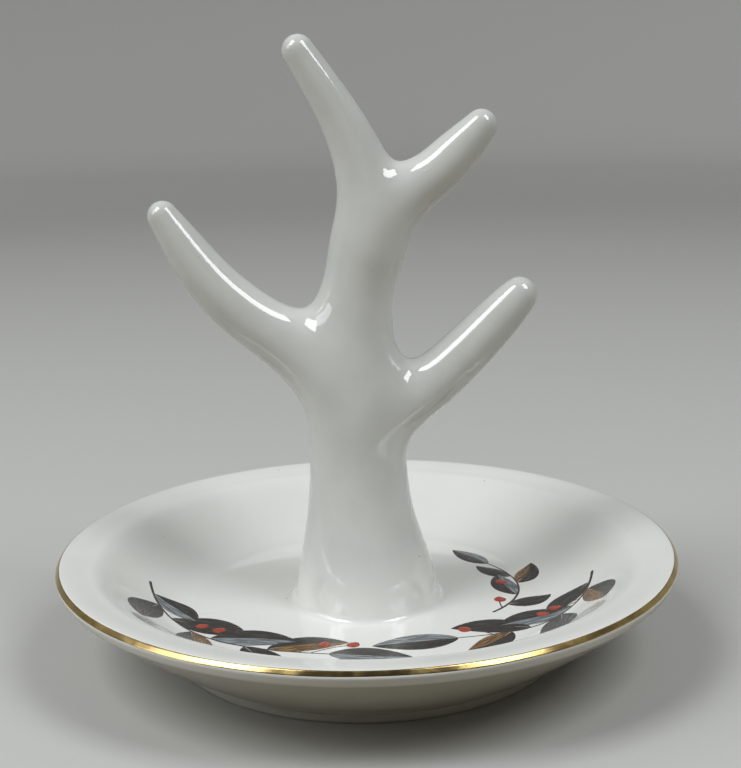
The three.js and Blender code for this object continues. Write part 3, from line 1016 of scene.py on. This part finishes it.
def paint_sprig(paints, sprig):
    """A twig with its leaves and its berries."""
    twig = bezier(np.array(sprig["line_shares"]) * FLOOR_RADIUS, TWIG_STEPS)
    width = np.linspace(TWIG_WIDTH, TWIG_TIP_WIDTH, len(twig))
    paints["twig"].add(twig, width, width, LEAF_RISE)
    heading = np.gradient(twig, axis=0)
    heading /= np.linalg.norm(heading, axis=1)[:, None]
    for place, size, quarter_turns, tone in sprig["leaf_shares"]:
        index = round(place * (len(twig) - 1))
        paint_leaf(paints, twig[index], heading[index], size, quarter_turns, tone)
    for place, reach, quarter_turns in sprig["berry_shares"]:
        index = round(place * (len(twig) - 1))
        paint_berry(paints, twig[index], heading[index], reach * LEAF_LENGTH, quarter_turns)


def make_enamels():
    """All the painted sprigs, as one piece for each enamel."""
    paints = {name: Strokes() for name in ENAMEL_TONES}
    for sprig in SPRIGS:
        paint_sprig(paints, sprig)
    return [
        paints[name].body("enamel_" + name, enamel("enamel_" + name, dark, light))
        for name, (dark, light) in ENAMEL_TONES.items()
    ]


# Stage, light and camera

def studio_paper():
    """Paper that is seen pale, and paler far away, which is painted light, and whose own light on the object
    is duller.
    """
    shader = Shader("studio_paper")
    rays = shader.node("ShaderNodeLightPath").outputs
    seen = shader.math("MAXIMUM", rays["Is Camera Ray"], rays["Is Glossy Ray"])
    seen = shader.math("MAXIMUM", seen, rays["Is Transmission Ray"])
    away = shader.node("ShaderNodeVectorMath", {0: shader.place}, operation="LENGTH").outputs["Value"]
    far = shader.span(away, PAPER_NEAR, PAPER_FAR)
    paper = shader.mixed(far, colour(*PAPER_SEEN_NEAR), colour(*PAPER_SEEN_FAR))
    shader.set(Base_Color=shader.mixed(seen, colour(*PAPER_AS_LIT), paper), Roughness=PAPER_ROUGHNESS)
    return shader.material


def make_studio():
    """A pale floor that sweeps up into a round wall, so that every side of the object has it behind."""
    reach = np.linspace(STUDIO_PINHOLE, STUDIO_REACH, STUDIO_FLOOR_STEPS + 1)
    outline = np.concatenate([
        np.stack([reach, np.zeros_like(reach)], axis=1),
        arc((STUDIO_REACH, STUDIO_SWEEP), STUDIO_SWEEP, -90, 0, STUDIO_SWEEP_STEPS)[1:],
        [(STUDIO_REACH + STUDIO_SWEEP, STUDIO_HEIGHT)],
    ])
    rows = turned_points(outline, STUDIO_AROUND)
    faces = grid_faces(STUDIO_AROUND, len(outline), True, False).tolist()
    studio = add_mesh("studio", rows.reshape(-1, 3), faces, studio_paper())
    studio.location.z = -STUDIO_DROP


def direction_to(azimuth, elevation):
    """The direction from the object, with azimuth in degrees from the front towards the right."""
    turn, lift = math.radians(azimuth), math.radians(elevation)
    return Vector((math.cos(lift) * math.sin(turn), -math.cos(lift) * math.cos(turn), math.sin(lift)))


def add_lamp(name, towards, width, height, radiance):
    """A soft upright lamp that faces the object."""
    towards = direction_to(*towards)
    side = Vector((0, 0, 1)).cross(towards).normalized()
    lamp = bpy.data.lights.new(name, "AREA")
    lamp.shape = "RECTANGLE"
    lamp.size = 2 * LAMP_DISTANCE * math.tan(math.radians(width) / 2)
    lamp.size_y = 2 * LAMP_DISTANCE * math.tan(math.radians(height) / 2)
    lamp.energy = radiance * math.pi * lamp.size * lamp.size_y
    lamp.color = LAMP_TINT
    stand = bpy.data.objects.new(name, lamp)
    stand.matrix_world = Matrix((side, towards.cross(side), towards)).transposed().to_4x4()
    stand.location = towards * LAMP_DISTANCE + Vector((0, 0, tree_high.z / 2))
    stand.visible_camera = False
    bpy.context.scene.collection.objects.link(stand)


def make_air():
    """The studio's air: a faint even light, with a soft lobe of more light in each of a few directions."""
    world = bpy.data.worlds.new("studio_air")
    world.use_nodes = True
    air = Nodes(world.node_tree)
    direction = air.node("ShaderNodeTexCoord").outputs["Generated"]
    level = AIR_LEVEL
    for lobe in AIR_LOBES.values():
        sides = {0: direction, 1: direction_to(*lobe["towards"])}
        nearness = air.node("ShaderNodeVectorMath", sides, operation="DOT_PRODUCT").outputs["Value"]
        edge = math.cos(math.radians(lobe["reach"]))
        level = air.math("ADD", level, air.span(nearness, edge, 1, 0, lobe["level"]))
    background = world.node_tree.nodes["Background"]
    air.feed(background.inputs["Strength"], level)
    air.feed(background.inputs["Color"], colour(*AIR_TINT))
    bpy.context.scene.world = world


def light_scene():
    for name, lamp in LAMPS.items():
        add_lamp(name, **lamp)
    make_air()


def place_camera():
    camera = bpy.data.cameras.new("camera")
    camera.sensor_width = SENSOR
    camera.lens = FOCAL_PIXELS / PICTURE_HEIGHT * SENSOR
    camera.clip_start = CAMERA_NEAR
    stand = bpy.data.objects.new("camera", camera)
    stand.location = CAMERA_PLACE
    stand.rotation_mode = "QUATERNION"
    level = (CAMERA_AIM - CAMERA_PLACE).to_track_quat("-Z", "Y")
    stand.rotation_quaternion = level @ Quaternion((0, 0, 1), math.radians(CAMERA_ROLL))
    bpy.context.scene.collection.objects.link(stand)
    bpy.context.scene.camera = stand


bpy.context.scene.view_settings.view_transform = "Standard"
place_camera()
light_scene()
make_studio()

dish_glaze = glaze("dish_glaze", **DISH_GLAZE)
tree_glaze_and_shading = glaze("tree_glaze_and_shading", **TREE_GLAZE_AND_SHADING)
pieces = [
    make_dish(dish_glaze),
    make_gilt_band(gold_lustre()),
    make_tree(tree_glaze_and_shading),
    make_slip_fillet(tree_glaze_and_shading),
    *make_enamels(),
]
for piece in pieces:
    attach(piece, "root")
